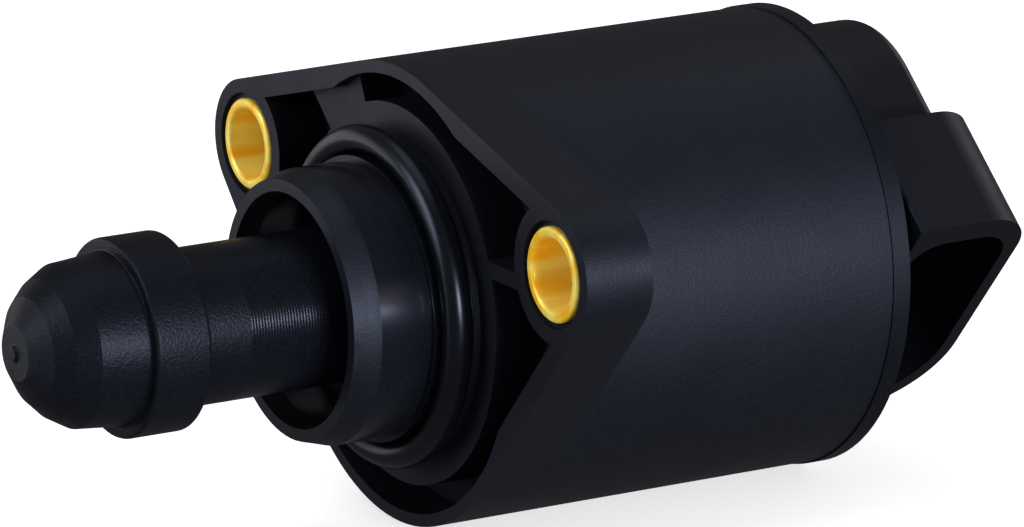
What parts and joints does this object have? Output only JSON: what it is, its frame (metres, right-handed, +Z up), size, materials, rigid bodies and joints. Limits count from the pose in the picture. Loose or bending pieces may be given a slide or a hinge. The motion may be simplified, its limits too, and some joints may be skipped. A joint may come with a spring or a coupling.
{
  "type": "idle air control valve",
  "caption": "Stepper driven idle air valve with a sliding pintle, sealed spigot, two-hole flange and side facing socket.",
  "frame": {"origin": "on the valve axis, in the plane of the flange's front face", "axes": "-X towards the pintle's tip, +Y towards the left hand mounting hole, +Z up, square to the line of the holes"},
  "size_m": [0.0761, 0.055, 0.035],
  "materials": {
    "housing_plastic": "moulded, fine speckled matt",
    "cap_plastic": "moulded, smooth satin",
    "pintle_plastic": "moulded and turned, satin",
    "rubber": "smooth, slightly oiled",
    "brass": "turned, bright",
    "steel": "ground",
    "guide_plastic": "moulded, natural",
    "hub_plastic": "moulded, natural",
    "magnet": "pressed ferrite, dull",
    "bronze": "sintered, oiled",
    "cage_brass": "pressed",
    "iron": "pressed, zinc plated",
    "bobbin_plastic": "moulded, natural",
    "copper_wire": "enamelled wire, close wound",
    "tinned": "stamped, tinned"
  },
  "bodies": {
    "body": {"housing": "housing_plastic", "end_cap": "cap_plastic", "mounting_bush_left": "brass", "mounting_bush_right": "brass", "sealing_ring": "rubber", "guide_bush": "guide_plastic", "front_bearing_bush": "bronze", "thrust_washer": "steel", "bearing_outer_race": "steel", "bearing_balls": "steel", "bearing_cage": "cage_brass", "preload_spring": "steel", "stator_cup_front": "iron", "stator_cup_rear": "iron", "pole_plate_front": "iron", "pole_plate_rear": "iron", "bobbin_front": "bobbin_plastic", "bobbin_rear": "bobbin_plastic", "coil_front": "copper_wire", "coil_rear": "copper_wire", "terminal_1": "tinned", "terminal_2": "tinned", "terminal_3": "tinned", "terminal_4": "tinned"},
    "rotor": {"rotor_hub": "hub_plastic", "rotor_magnet": "magnet", "bearing_inner_race": "steel"},
    "pintle": {"pintle": "pintle_plastic", "lead_screw": "steel"}
  },
  "joints": [
    {"name": "rotor_spin", "type": "hinge", "parent": "body", "child": "rotor", "pos_m": [0, 0, 0], "axis": [1, 0, 0], "range_deg": [0, 2880]},
    {"name": "pintle_slide", "type": "slide", "parent": "body", "child": "pintle", "axis": [1, 0, 0], "range_m": [0, 0.008]}
  ],
  "couplings": [
    {"joint": "rotor_spin", "follows": "pintle_slide", "rad_per_m": 6283.2}
  ]
}
